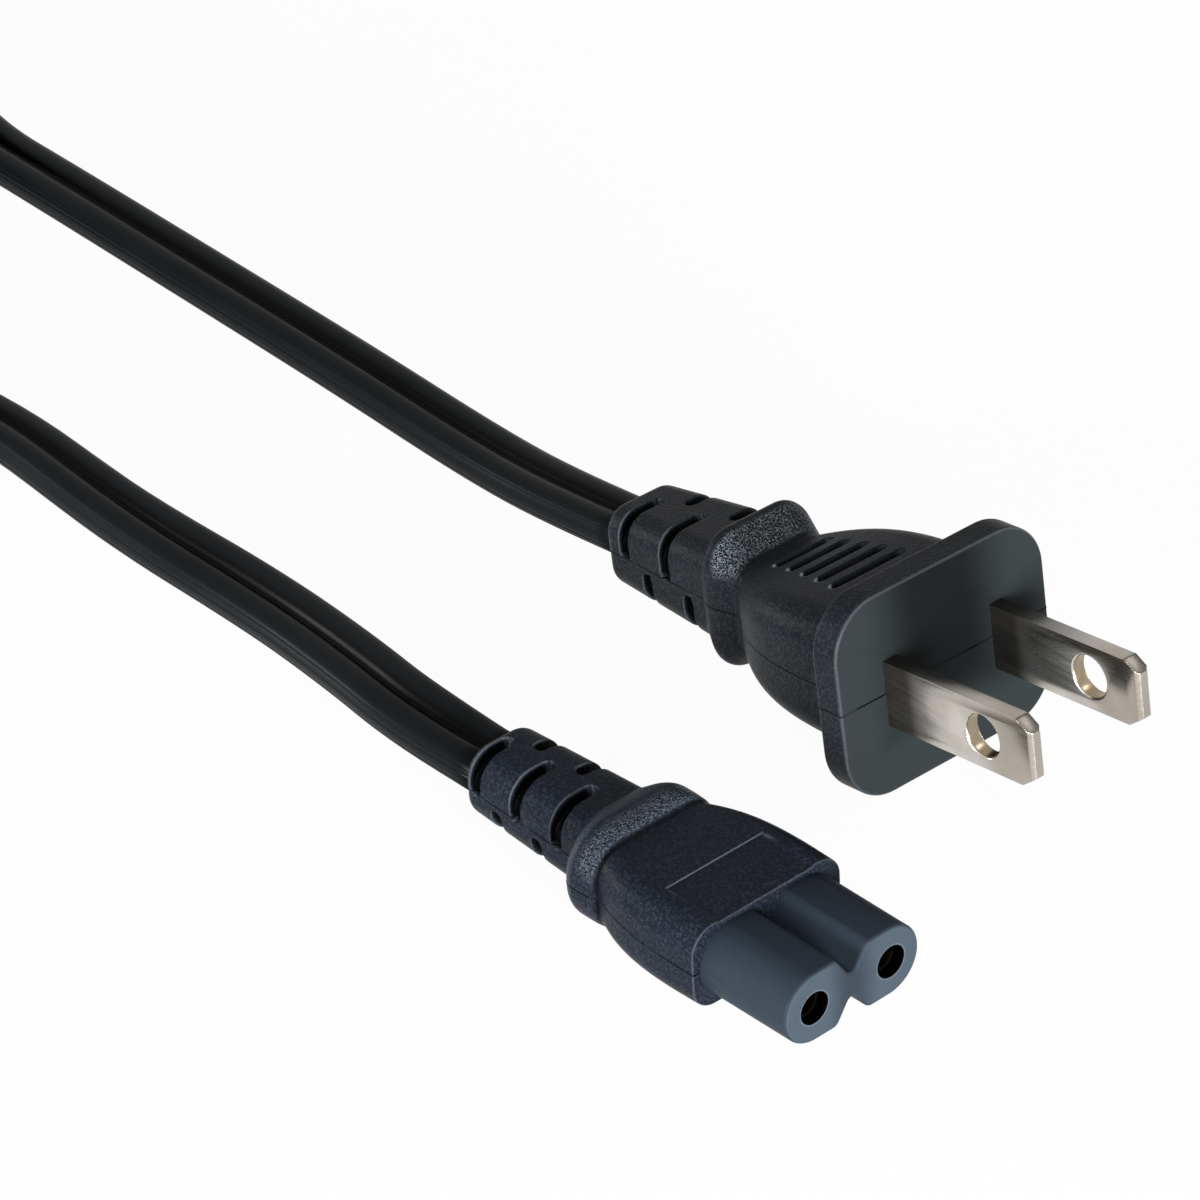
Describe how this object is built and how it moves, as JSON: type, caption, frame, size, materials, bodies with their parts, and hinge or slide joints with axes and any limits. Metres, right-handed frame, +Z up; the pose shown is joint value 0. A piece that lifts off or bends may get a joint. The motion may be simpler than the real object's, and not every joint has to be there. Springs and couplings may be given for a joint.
{
  "type": "figure eight power connector lead",
  "caption": "Figure eight appliance connector on a flat twin lead, with a two blade mains plug and the spare lead wound in a tied coil.",
  "frame": {"origin": "on the surface the lead lies on, below the middle of the connector's box, without its cord and plug", "axes": "+X from the connector's strain relief to its nose, +Z up"},
  "size_m": [0.2523, 0.0805, 0.0194],
  "materials": {
    "housing_black": "fine grained soft PVC moulding",
    "insert_black": "smooth rigid moulding, satin",
    "bridge_black": "rigid moulding, matt",
    "cord_black": "smooth extruded PVC, slightly glossy",
    "core_insulation": "smooth extruded PVC",
    "tie_black": "ribbed plastic strap",
    "contact_bronze": "rolled strip, dull",
    "strand_copper": "bare stranded wire",
    "blade_nickel": "nickel plated, lightly worn"
  },
  "bodies": {
    "root": {"connector_housing": "housing_black", "connector_insert": "insert_black", "connector_contact_left": "contact_bronze", "connector_contact_right": "contact_bronze", "connector_leg_left": "core_insulation", "connector_leg_right": "core_insulation", "connector_strands_left": "strand_copper", "connector_strands_right": "strand_copper", "plug_housing": "housing_black", "plug_bridge": "bridge_black", "plug_blade_left": "blade_nickel", "plug_blade_right": "blade_nickel", "plug_leg_left": "core_insulation", "plug_leg_right": "core_insulation", "plug_strands_left": "strand_copper", "plug_strands_right": "strand_copper", "cord_run_connector": "cord_black", "cord_coil": "cord_black", "cord_run_plug": "cord_black", "coil_tie": "tie_black"}
  },
  "joints": []
}
